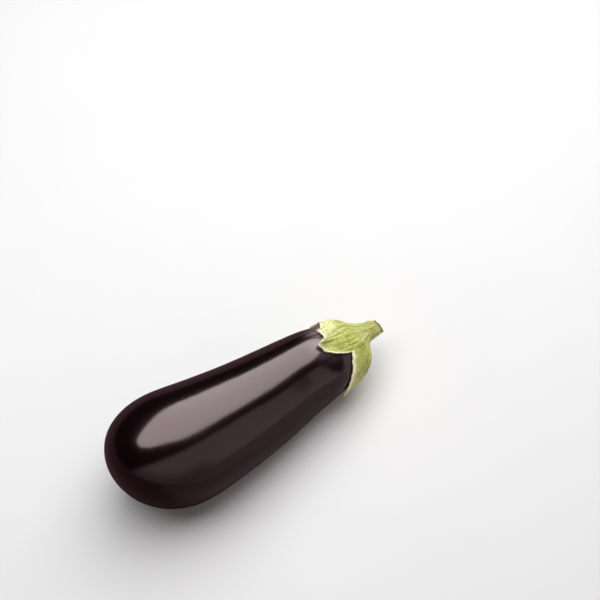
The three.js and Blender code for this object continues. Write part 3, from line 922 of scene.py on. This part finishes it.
# ---- Calyx and stem ----
class CalyxForm:
    """The calyx and the stem over the fruit's form, in columns from the cut to the lobes' edge."""

    def __init__(self, sizes):
        self.sizes = sizes
        self.fruit = FruitForm(sizes)
        self.columns = calyx_columns()
        self.rib = bell(self.columns.across, RIB_WIDTH)
        self.valley = bell(1 - self.columns.across, VALLEY[1])
        self.fibre = waves(self.columns.hub, FIBRES)
        self.end = self.fruit.over_skin(0.0, 0.0, 0.0)
        self.up = self.fruit.direction((1, *STEM_LEAN))
        self.cut_share = np.linspace(0, CUT_FLAT, CUT_RINGS + 1)[1:, None]
        self.down = np.linspace(0, 1, STEM_RINGS + 1)[1:, None]
        self.cup_share = np.linspace(0, 1, CUP_RINGS + 1)[:, None]

    def to_edge(self, share):
        """Way left on the skin from a share of the cup to the cut edge."""
        return (1 - share) * (self.columns.reach - HUB_REACH)

    def furrow(self, share):
        """The folded lobe's furrow, from 0 to 1: a bell across the lobe that widens as it opens."""
        opening = smoothstep(share, *FURROW_OPENS)
        return bell(self.columns.across, mix(*FURROW_WIDTH, opening)) * opening

    def thickness(self, share):
        """Thick at the hub, even over the cup, thinner at the edge, with its relief on top.

        Of the relief, the creases need a whole grid of shares.
        """
        hub, edge, reach, across, depth, _ = self.columns
        body = mix(HUB_THICKNESS, self.sizes.cup_thickness, np.minimum(share / HUB_FADE, 1))
        body = mix(body, EDGE_THICKNESS, share**EDGE_THINNING)
        side_rib = SIDE_RIB[0] * bell(across - SIDE_RIB[1], SIDE_RIB[2])
        side_rib = side_rib * smoothstep(share, *SIDE_RIB_STARTS)
        rise = RIB_HEIGHT * self.rib + side_rib - VALLEY[0] * self.valley
        body = body + rise * (1 - share**RIB_FADE)
        body = body + sum(swelling(mix(hub, edge, share), share, bulge) for bulge in BULGES)
        body = body + self.fibre * (1 - FIBRE_FADE * share)
        body = body + EDGE_BEAD[0] * bell(self.to_edge(share), EDGE_BEAD[1])
        ends, faded = FURROW_ENDS
        body = body - depth * self.furrow(share) * (1 - faded * smoothstep(share, ends, 1))
        body = body + crossed(UNEVEN, edge, hub, share)
        if share.size > 1:
            creased = creases(hub, share * (reach - HUB_REACH)) - 0.5
            faded, power = CREASE_FADE
            fade = smoothstep(share, 0, CREASE_STARTS) * (1 - faded * share**power)
            body = body + CREASE_HEIGHT * creased * fade
        return body

    def on_cup(self, share, lift, outwards=0.0):
        """Point of the calyx from the hub's rim (share 0) to the cut edge (share 1).

        The angle swerves smoothly from the hub's to the edge's, the tips curl up, and the edge
        stands off unevenly.
        """
        hub, edge, reach, across, _, curl = self.columns
        angle = mix(hub, edge, smoothstep(share, 0, 1))
        curled = self.sizes.tip_lift * curl * (1 - across) ** 2 * share**TIP_CURL
        mean, ripple, count, phase = EDGE_STAND
        stand = (mean + ripple * np.sin(count * edge + phase)) * share**EDGE_STAND_POWER
        along = mix(HUB_REACH, reach, share) + outwards
        return self.fruit.over_skin(along, angle, GAP + curled + stand + lift)

    def on_stem(self, height, spread):
        """Point of the stem's side: its end, plus up times height, plus the radius times aside."""
        hub = self.columns.hub
        ribbed = STEM_RIBS[0] + STEM_RIBS[1] * self.rib
        radius = self.sizes.stem_radius * ribbed * spread + self.fibre
        forward = self.fruit.direction((0, -1, 0)) * np.cos(hub)[..., None]
        upward = self.fruit.direction((0, 0, 1)) * np.sin(hub)[..., None]
        return self.end + height[..., None] * self.up + radius[..., None] * (forward + upward)

    def cut_height(self, share):
        """Height of the slanting cut at a share of the stem's radius."""
        slant = CUT_SLANT * share * np.cos(self.columns.hub - CUT_LOW_SIDE)
        return self.sizes.stem_length - slant

    def stem_parts(self):
        """Rings of the cut (a shallow, grained dish), its rim, the stem's side and the flare.

        The rim is a quarter turn. The side is pinched to a waist and has creases and a knob. The
        flare is a Bezier curve in each column from the stem's foot to the hub's rim.
        """
        hub, share, down = self.columns.hub, self.cut_share, self.down
        dish = -CUT_DISH * (1 - (share / CUT_FLAT) ** 4)
        grain = crossed(CUT_GRAIN, hub, hub, share)
        turn = np.linspace(0, np.pi / 2, RIM_RINGS + 1)[1:, None]
        rim_height = self.cut_height(RIM_MIDDLE) - RIM_DROP * (1 - np.cos(turn))
        side_height = mix(self.cut_height(1.0) - RIM_DROP, STEM_FOOT, down)
        middle = np.sin(np.pi * down)
        waist = 1 - WAIST[0] * middle * (1 + WAIST[1] * np.cos(2 * hub + 1))
        knobs = STEM_CREASES[0] * creases(hub, STEM_CREASES[1] * side_height)
        knobs = 1 + (knobs + swelling(hub, down, KNOB)) * middle

        foot = self.on_stem(np.array([[STEM_FOOT]]), FOOT_SPREAD)
        lower = self.on_stem(np.array([[STEM_FOOT - FLARE_DROP]]), FLARE_SPREAD)
        zero, aim = np.zeros((1, 1)), np.full((1, 1), FLARE_AIM)
        hub_rim = self.on_cup(zero, self.thickness(zero))
        handle = 2 * hub_rim - self.on_cup(aim, self.thickness(aim))
        t = np.linspace(0, 1, FLARE_RINGS + 1)[1:-1, None, None]
        return {
            "cut": self.on_stem(self.cut_height(share) + dish + grain, share),
            "rim": self.on_stem(rim_height, mix(CUT_FLAT, 1.0, np.sin(turn))),
            "side": self.on_stem(side_height, mix(1, FOOT_SPREAD, down) * waist * knobs),
            "flare": bezier((foot, lower, handle, hub_rim), t),
        }

    def cup_parts(self):
        """Rings of the outer face, the rolled edge (a half turn) and the lining, to its pole."""
        one = np.ones((1, 1))
        roll = np.linspace(0, np.pi, EDGE_RINGS + 2)[1:-1, None]
        height = self.thickness(one)
        rolled_lift = height / 2 * (1 + np.cos(roll))
        back = np.linspace(1, 0, LINING_RINGS + 1)[:, None]
        under = HUB_REACH * np.array(LINING_END)[:, None]
        return {
            "outer": self.on_cup(self.cup_share, self.thickness(self.cup_share)),
            "rolled": self.on_cup(one, rolled_lift, height * EDGE_ROUND * np.sin(roll)),
            "inner": self.on_cup(back, 0.0),
            "under": self.fruit.over_skin(under, self.columns.hub, GAP),
        }


def paint_calyx(mesh, form, parts):
    """Stores where the calyx is cut, pale, dry or bleached, where its grooves get painted shade,
    and which way it grows.
    """
    hub, edge, _, across, depth, _ = form.columns
    share = form.cup_share
    to_edge = form.to_edge(share)

    def stored(name, first=0.0, **values):
        """Paints a value or array on each part that is named, and 0 on the others."""
        rings = [
            np.broadcast_to(values.get(part, 0), points.shape[:2]) for part, points in parts.items()
        ]
        paint(mesh, name, first, np.concatenate(rings), 0.0)

    strength, length, spread = BROWN_SIDE
    brown_side = strength * bell(form.down * length, spread)
    brown_face = smoothstep(form.cut_share, BROWN_FACE, CUT_FLAT)
    stored("cut", 1.0, cut=1, rim=RIM_COLOURS[0])
    stored("cut_rim", cut=brown_face, rim=RIM_COLOURS[1], side=brown_side)
    stored("edge", outer=bell(to_edge, PALE_EDGE), rolled=1, inner=1)
    dry_edge = bell(across * TIP_WIDTH, DRY_SPREAD)
    dryness = bell(np.hypot(to_edge, across * TIP_WIDTH), DRY_SPREAD)
    stored("dry", outer=dryness, rolled=dry_edge, inner=dry_edge)

    # Painted shade in the folded lobe's furrow and in the valleys to each notch
    ends, faded = FURROW_DARK_UNTIL
    furrow = (depth > 0) * form.furrow(share) * (1 - faded * smoothstep(share, ends, 1))
    furrow = np.maximum(furrow, VALLEY_DARK[0] * form.valley * (1 - share**2))
    stored("groove", flare=VALLEY_DARK[1] * form.valley, outer=furrow)

    sunny = facing(mix(hub, edge, share), SUNNY_SIDE, SUNNY_NARROWNESS)
    sunny = sunny * smoothstep(share, *SUNNY_SPAN)
    strength, width, spread = WITHERED
    withered = strength * bell(np.hypot(to_edge, across * width), spread)
    withered = withered * mix(PALE_LEAST, 1, facing(edge, PALE_LOBE, PALE_NARROWNESS))
    pale, pale_span = PALE_FOOT
    pale_foot = pale * (1 - smoothstep(share, 0, pale_span))
    bleached = np.maximum(np.maximum(sunny, withered), pale_foot)
    stored("bleached", side=pale, flare=pale, outer=bleached)

    rings = np.concatenate(list(parts.values()))
    steps = np.linalg.norm(np.diff(rings, axis=0), axis=-1)
    travelled = np.concatenate([np.zeros((1, hub.size)), np.cumsum(steps, axis=0)])
    paint_growth(mesh, CALYX_GROWTH_RADIUS, hub, travelled, 0)


def build_calyx(sizes, look):
    """The calyx and the stem as one closed skin, from the cut over the lobes to the lining."""
    form = CalyxForm(sizes)
    parts = {**form.stem_parts(), **form.cup_parts()}
    first = form.end + form.up * (sizes.stem_length - CUT_DISH)
    last = form.fruit.over_skin(0.0, 0.0, GAP)
    mesh = closed_mesh("calyx_and_stem", first, np.concatenate(list(parts.values())), last)
    paint_calyx(mesh, form, parts)
    put_in_scene(mesh, calyx_material(look), "calyx_stem")


# ---- Stage ----
def looking(back, across):
    """Rotation of a thing whose Z points back at the viewer and whose X lies along across."""
    back = Vector(back).normalized()
    right = (Vector(across) - back * back.dot(Vector(across))).normalized()
    return Matrix((right, back.cross(right), back)).transposed().to_4x4()


def floor_material(studio):
    """Pale matt card that fades out at its edge, and is dimmed as glossy reflections see it: a
    painted shade that only the gloss sees.

    The dimming steps smoothly along the way across the floor, from near to far.
    """
    material, tree, surface = new_material("floor card")
    place = object_place(tree)
    scale, darker = FLOOR_CLOUDS
    cloud = mottle(tree, place, Scale=scale, Detail=3.0)
    slightly = tuple(value * darker for value in studio.floor)
    colour = blended(tree, cloud, studio.floor, slightly)
    beyond = vector_maths(tree, "DOT_PRODUCT", place, FLOOR_BEYOND)["Value"]
    nearer = ramp(tree, beyond, *FLOOR_NEAR, studio.near_dimming, studio.floor_dimming)
    dimming = ramp(tree, beyond, *FLOOR_FAR, nearer, studio.far_dimming)
    mirrored = add_node(tree, "ShaderNodeLightPath").outputs["Is Glossy Ray"]
    away = vector_maths(tree, "LENGTH", place)["Value"]
    values = {
        "Base Color": layered(tree, colour, ((mirrored, dimming, studio.floor_dark),)),
        "Roughness": 0.9,
        "Specular IOR Level": 0.1,
        "Alpha": ramp(tree, away, *FLOOR_FADE, 1.0, 0.0),
    }
    feed(tree, surface, values)
    return material


def add_floor(studio):
    """A square floor at z = 0."""
    half = studio.floor_size / 2
    mesh = bpy.data.meshes.new("floor")
    corners = [(-half, -half, 0), (half, -half, 0), (half, half, 0), (-half, half, 0)]
    mesh.from_pydata(corners, [], [(0, 1, 2, 3)])
    mesh.materials.append(floor_material(studio))
    floor = new_object("floor", mesh)


def add_window(studio):
    """A large soft light that faces the fruit, and spans its half angles to each side and up."""
    lean, rise = (math.radians(angle) for angle in WINDOW_DEGREES)
    towards = (math.sin(lean), -math.cos(lean) * math.cos(rise), math.cos(lean) * math.sin(rise))
    width, height = (
        2 * WINDOW_DISTANCE * math.tan(math.radians(half)) for half in WINDOW_HALF_DEGREES
    )
    light = bpy.data.lights.new("window light", "AREA")
    light.shape = "RECTANGLE"
    light.size = width
    light.size_y = height
    light.energy = studio.window * math.pi * width * height
    lamp = new_object("window light", light)
    middle = Vector(WINDOW_AIM) + Vector(towards).normalized() * WINDOW_DISTANCE
    lamp.matrix_world = Matrix.Translation(middle) @ looking(towards, (1, 0, 0))
    lamp.visible_camera = False
    shape_window(light)


def shape_window(light):
    """Shapes the window's light by the place on it, from -1 to 1 each way.

    It is bowed, grows higher along X and has elliptic corners, and its light grows upwards by the
    gradient and fades out at the edge.
    """
    light.use_nodes = True
    tree = light.node_tree
    panel = add_node(tree, "ShaderNodeNewGeometry").outputs["Parametric"]
    place = add_node(tree, "ShaderNodeSeparateXYZ", {0: panel}).outputs
    along, across = (
        maths(tree, "MULTIPLY", maths(tree, "SUBTRACT", place[axis], 0.5), 2.0) for axis in (0, 1)
    )
    bow, turns_at = WINDOW_BOW
    middle = maths(tree, "POWER", maths(tree, "SUBTRACT", along, turns_at), 2.0)
    middle = maths(tree, "MULTIPLY", middle, bow)
    height = ramp(tree, along, *WINDOW_WIDENS, *WINDOW_HEIGHTS)
    across = maths(tree, "DIVIDE", maths(tree, "SUBTRACT", across, middle), height)
    past = []
    for out, rounding in zip((along, across), WINDOW_ROUNDINGS):
        beyond = maths(tree, "SUBTRACT", maths(tree, "ABSOLUTE", out), 1 - rounding)
        beyond = maths(tree, "MAXIMUM", beyond, 0.0)
        past.append(maths(tree, "POWER", maths(tree, "DIVIDE", beyond, rounding), 2.0))
    edge = maths(tree, "SQRT", maths(tree, "ADD", *past))
    strength = ramp(tree, edge, 1 - WINDOW_SOFTNESS, 1.0, 1.0, 0.0)
    growing = maths(tree, "ADD", maths(tree, "MULTIPLY", across, WINDOW_GRADIENT), 1.0)
    strength = maths(tree, "MULTIPLY", strength, growing)
    feed(tree, tree.nodes["Emission"], {"Strength": strength})


def light_surroundings(studio):
    """Surroundings by direction: white to the camera, a dim fill in front, and a bright side.

    The fill lies below a plane that rises in front, is weaker low down away from the stem, and
    ends before the stem's side, which is bright, but less so as the gloss mirrors it.
    """
    scene = bpy.context.scene
    world = scene.world or bpy.data.worlds.new("studio air")
    scene.world = world
    world.use_nodes = True
    tree = world.node_tree
    sky = add_node(tree, "ShaderNodeTexCoord").outputs["Generated"]
    down = (0, -math.sin(studio.fill_edge), -math.cos(studio.fill_edge))
    below = vector_maths(tree, "DOT_PRODUCT", sky, down)["Value"]
    way = add_node(tree, "ShaderNodeSeparateXYZ", {0: sky}).outputs
    low_fill = ramp(tree, way["X"], *FILL_BESIDE, FILL_LEAST * studio.fill, studio.fill)
    fill = ramp(tree, way["Z"], *FILL_ABOVE, low_fill, studio.fill)
    dim = ramp(tree, below, 0.0, FILL_SOFTNESS, studio.air, fill)
    dim = maths(tree, "MULTIPLY", dim, ramp(tree, way["X"], *FILL_ENDS, 1.0, 0.0))
    side = ramp(tree, way["X"], SIDE_STARTS, 1.0)
    ray = add_node(tree, "ShaderNodeLightPath").outputs
    side_light = mix_range(tree, ray["Is Glossy Ray"], studio.side, studio.side_shine)
    dim = maths(tree, "ADD", dim, maths(tree, "MULTIPLY", side, side_light))
    white = maths(tree, "MAXIMUM", ray["Is Camera Ray"], side)
    colour = blended(tree, white, studio.fill_colour, (1, 1, 1))
    strength = mix_range(tree, ray["Is Camera Ray"], dim, SEEN_AIR)
    feed(tree, tree.nodes["Background"], {"Color": colour, "Strength": strength})
    scene.view_settings.view_transform = "Standard"
    scene.view_settings.look = "None"


def place_camera(studio):
    """The camera, at its distance from the target in the direction of its azimuth and elevation."""
    lens = bpy.data.cameras.new("camera")
    lens.lens = studio.lens
    lens.sensor_width = 36
    lens.clip_end = 50
    camera = new_object("camera", lens)
    across, height = studio.azimuth, studio.elevation
    ground = (math.sin(across) * math.cos(height), -math.cos(across) * math.cos(height))
    back = Vector((*ground, math.sin(height)))
    right = (math.cos(across), math.sin(across), 0)
    eye = Vector(studio.target) + back * studio.distance
    camera.matrix_world = Matrix.Translation(eye) @ looking(back, right)
    bpy.context.scene.camera = camera


# ---- Operators and panel ----
class EGGPLANT_OT_skin(bpy.types.Operator):
    """Build the fruit's skin over its solid"""

    bl_idname = "eggplant.skin"
    bl_label = "Fruit skin"

    def execute(self, context):
        build_skin(context.scene.eggplant_sizes, context.scene.eggplant_look)
        return {"FINISHED"}


class EGGPLANT_OT_calyx(bpy.types.Operator):
    """Build the calyx and the stem over their solid"""

    bl_idname = "eggplant.calyx"
    bl_label = "Calyx and stem"

    def execute(self, context):
        build_calyx(context.scene.eggplant_sizes, context.scene.eggplant_look)
        return {"FINISHED"}


class EGGPLANT_OT_stage(bpy.types.Operator):
    """Build the floor, the lights and the camera"""

    bl_idname = "eggplant.stage"
    bl_label = "Stage"

    def execute(self, context):
        for build in (add_floor, add_window, light_surroundings, place_camera):
            build(context.scene.eggplant_studio)
        return {"FINISHED"}


class EGGPLANT_PT_pieces(bpy.types.Panel):
    """Lists the pieces of the eggplant"""

    bl_idname = "EGGPLANT_PT_pieces"
    bl_label = "Eggplant"
    bl_space_type = "VIEW_3D"
    bl_region_type = "UI"
    bl_category = "Eggplant"

    def draw(self, context):
        for operator in OPERATORS:
            self.layout.operator(operator.bl_idname)
        for group in (getattr(context.scene, name) for name in GROUPS):
            box = self.layout.box()
            for name in group.bl_rna.properties.keys():
                if name not in ("rna_type", "name"):
                    box.prop(group, name)


GROUPS = {
    "eggplant_sizes": EggplantSizes,
    "eggplant_look": EggplantLook,
    "eggplant_studio": EggplantStudio,
}
OPERATORS = (EGGPLANT_OT_skin, EGGPLANT_OT_calyx, EGGPLANT_OT_stage)


def register():
    """Registers the settings, the operators and the panel."""
    for name, group in GROUPS.items():
        bpy.utils.register_class(group)
        setattr(bpy.types.Scene, name, bpy.props.PointerProperty(type=group))
    for kind in (*OPERATORS, EGGPLANT_PT_pieces):
        bpy.utils.register_class(kind)


def unregister():
    """Removes what register added."""
    for kind in reversed((*OPERATORS, EGGPLANT_PT_pieces)):
        bpy.utils.unregister_class(kind)
    for name, group in GROUPS.items():
        delattr(bpy.types.Scene, name)
        bpy.utils.unregister_class(group)


def main():
    """Builds every piece and the stage."""
    register()
    bpy.ops.eggplant.stage()
    bpy.ops.eggplant.skin()
    bpy.ops.eggplant.calyx()


if __name__ == "__main__":
    main()
